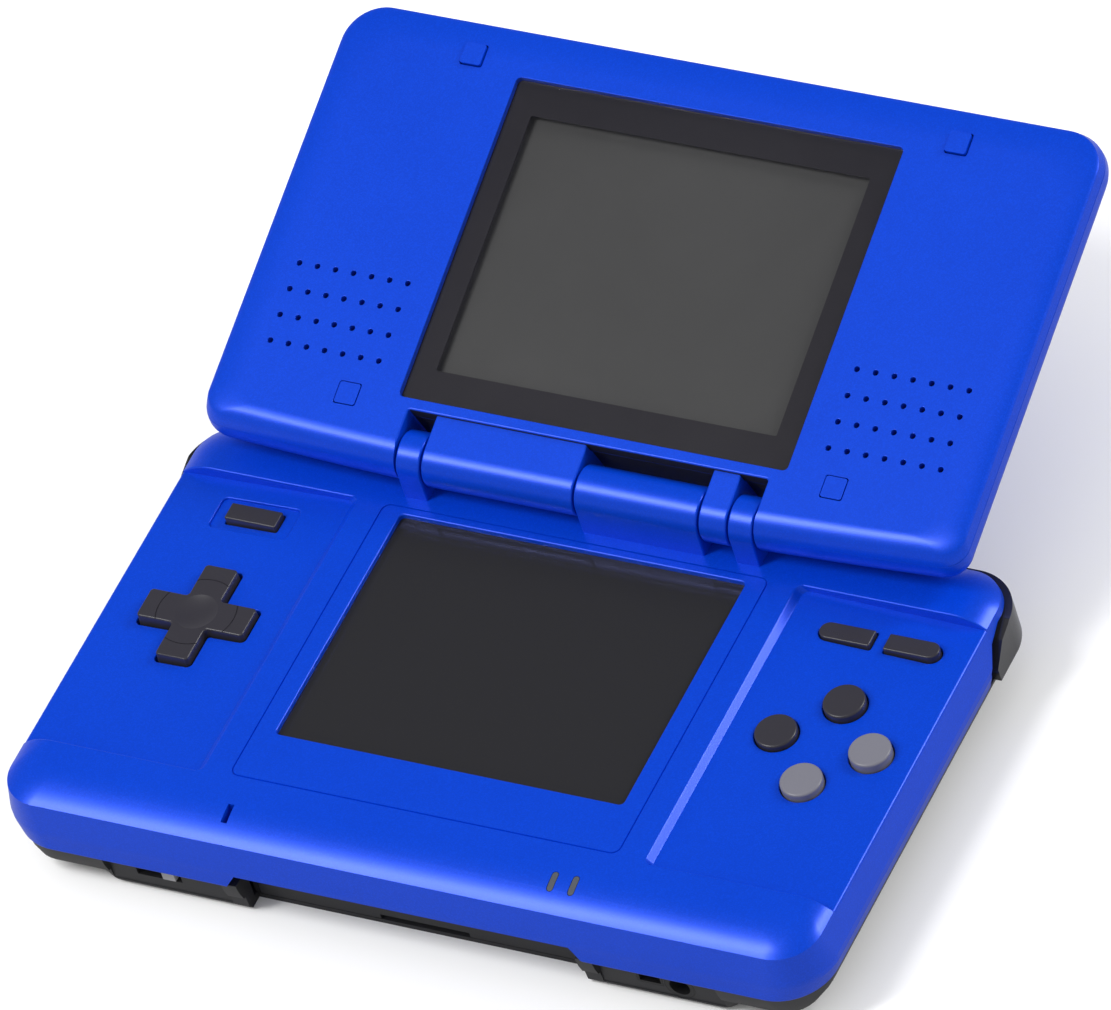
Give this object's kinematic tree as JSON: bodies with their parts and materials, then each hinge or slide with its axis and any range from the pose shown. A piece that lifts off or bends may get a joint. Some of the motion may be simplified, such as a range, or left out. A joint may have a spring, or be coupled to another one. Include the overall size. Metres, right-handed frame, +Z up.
{
  "type": "handheld_game_console",
  "caption": "Clamshell handheld game console lying open: base with touch screen, pad, buttons and slots, and a hinged lid with a second screen and speakers.",
  "frame": {"origin": "centre of the base's underside, on the surface it rests on", "axes": "+X to the right, +Y to the rear where the hinge is, +Z up; the rest pose is the open lid as in the picture"},
  "size_m": [0.1486, 0.1492, 0.0498],
  "materials": {
    "shell_blue": "satin metallic blue lacquer",
    "shell_dark": "fine satin dark grey",
    "key_dark": "satin charcoal",
    "key_grey": "satin mid grey",
    "shoulder_gloss": "glossy black",
    "lens_clear": "clear moulded window",
    "lens_border": "black print under the window",
    "touch_film": "satin touch film",
    "display_dark": "unlit display",
    "display_metal": "pressed tray",
    "inner_black": "moulded black",
    "connector_ivory": "moulded ivory",
    "control_grey": "satin light grey",
    "lamp_lens": "clear light guide",
    "stylus_plastic": "polished dark grey",
    "steel": "plated",
    "contact_metal": "gold plated",
    "circuit_green": "solder mask",
    "battery_wrap": "printed sleeve, left bare",
    "keypad_rubber": "silicone",
    "ribbon_film": "amber film",
    "mesh_black": "fine black mesh"
  },
  "bodies": {
    "base": {"base_top_shell": "shell_blue", "base_lower_shell": "shell_dark", "battery_cover": "shell_dark", "touch_panel": "touch_film", "lower_display_panel": "display_dark", "lower_display_frame": "display_metal", "wireless_module": "display_metal", "microphone_capsule": "display_metal", "card_slot_housing": "inner_black", "cartridge_slot_housing": "inner_black", "power_jack": "inner_black", "headphone_socket": "inner_black", "accessory_socket": "inner_black", "stylus_channel": "inner_black", "volume_control": "inner_black", "shoulder_switches": "inner_black", "power_switch": "inner_black", "cartridge_slot_connector": "connector_ivory", "lamp_guides": "lamp_lens", "battery_cover_screw": "steel", "base_screws": "steel", "shoulder_pivot_pins": "steel", "shoulder_springs": "steel", "hinge_clutch": "steel", "hinge_bush": "steel", "battery_contacts": "contact_metal", "main_circuit_board": "circuit_green", "battery_pack": "battery_wrap", "dpad_rubber": "keypad_rubber", "action_buttons_rubber": "keypad_rubber", "start_select_rubber": "keypad_rubber", "hinge_ribbon": "ribbon_film"},
    "lid": {"lid_inner_bezel": "shell_blue", "lid_outer_shell": "shell_blue", "upper_lens": "lens_clear", "upper_lens_border": "lens_border", "upper_display_panel": "display_dark", "upper_display_frame": "display_metal", "left_speaker": "display_metal", "right_speaker": "display_metal", "speaker_mesh": "mesh_black", "lid_screws": "steel", "lid_bumpers": "shell_blue", "lid_screw_plugs": "shell_blue", "lid_circuit_board": "circuit_green"},
    "action_button_rear": {"action_button_rear": "key_dark"},
    "action_button_right": {"action_button_right": "key_grey"},
    "action_button_front": {"action_button_front": "key_grey"},
    "action_button_left": {"action_button_left": "key_dark"},
    "select_button": {"select_button": "key_dark"},
    "start_button": {"start_button": "key_dark"},
    "power_button": {"power_button": "key_dark"},
    "pad_rocker": {"dpad_pivot": "steel"},
    "pad": {"dpad": "key_dark"},
    "left_shoulder": {"left_shoulder_button": "shoulder_gloss"},
    "right_shoulder": {"right_shoulder_button": "shoulder_gloss"},
    "volume": {"volume_slider": "control_grey"},
    "stylus": {"stylus": "stylus_plastic"},
    "cartridge_cover": {"cartridge_slot_cover": "shell_dark"}
  },
  "joints": [
    {"name": "lid_hinge", "type": "hinge", "parent": "base", "child": "lid", "pos_m": [0, 0.0359, 0.0243], "axis": [1, 0, 0], "range_deg": [0, 163]},
    {"name": "action_rear_press", "type": "slide", "parent": "base", "child": "action_button_rear", "axis": [0, 0, -1], "range_m": [0, 0.0007], "stiffness_N_per_m": 80, "springref_m": -0.001},
    {"name": "action_right_press", "type": "slide", "parent": "base", "child": "action_button_right", "axis": [0, 0, -1], "range_m": [0, 0.0007], "stiffness_N_per_m": 80, "springref_m": -0.001},
    {"name": "action_front_press", "type": "slide", "parent": "base", "child": "action_button_front", "axis": [0, 0, -1], "range_m": [0, 0.0007], "stiffness_N_per_m": 80, "springref_m": -0.001},
    {"name": "action_left_press", "type": "slide", "parent": "base", "child": "action_button_left", "axis": [0, 0, -1], "range_m": [0, 0.0007], "stiffness_N_per_m": 80, "springref_m": -0.001},
    {"name": "select_press", "type": "slide", "parent": "base", "child": "select_button", "axis": [0, 0, -1], "range_m": [0, 0.0006], "stiffness_N_per_m": 80, "springref_m": -0.001},
    {"name": "start_press", "type": "slide", "parent": "base", "child": "start_button", "axis": [0, 0, -1], "range_m": [0, 0.0006], "stiffness_N_per_m": 80, "springref_m": -0.001},
    {"name": "power_press", "type": "slide", "parent": "base", "child": "power_button", "axis": [0, 0, -1], "range_m": [0, 0.0006], "stiffness_N_per_m": 80, "springref_m": -0.001},
    {"name": "pad_front_rear", "type": "hinge", "parent": "base", "child": "pad_rocker", "pos_m": [-0.0556, 0.0012, 0.0142], "axis": [1, 0, 0], "range_deg": [-3, 3], "stiffness_Nm_per_rad": 0.02},
    {"name": "pad_left_right", "type": "hinge", "parent": "pad_rocker", "child": "pad", "pos_m": [-0.0556, 0.0012, 0.0142], "axis": [0, 1, 0], "range_deg": [-3, 3], "stiffness_Nm_per_rad": 0.02},
    {"name": "left_shoulder_press", "type": "hinge", "parent": "base", "child": "left_shoulder", "pos_m": [-0.053, 0.0375, 0.0115], "axis": [0, 0, 1], "range_deg": [0, 3], "stiffness_Nm_per_rad": 0.02, "springref_deg": -5.73},
    {"name": "right_shoulder_press", "type": "hinge", "parent": "base", "child": "right_shoulder", "pos_m": [0.053, 0.0375, 0.0115], "axis": [0, 0, -1], "range_deg": [0, 3], "stiffness_Nm_per_rad": 0.02, "springref_deg": -5.73},
    {"name": "volume_slide", "type": "slide", "parent": "base", "child": "volume", "axis": [1, 0, 0], "range_m": [-0.0047, 0.001]},
    {"name": "stylus_slide", "type": "slide", "parent": "base", "child": "stylus", "axis": [0, 1, 0], "range_m": [0, 0.07]},
    {"name": "cartridge_cover_slide", "type": "slide", "parent": "base", "child": "cartridge_cover", "axis": [0, -1, 0], "range_m": [0, 0.03]}
  ]
}
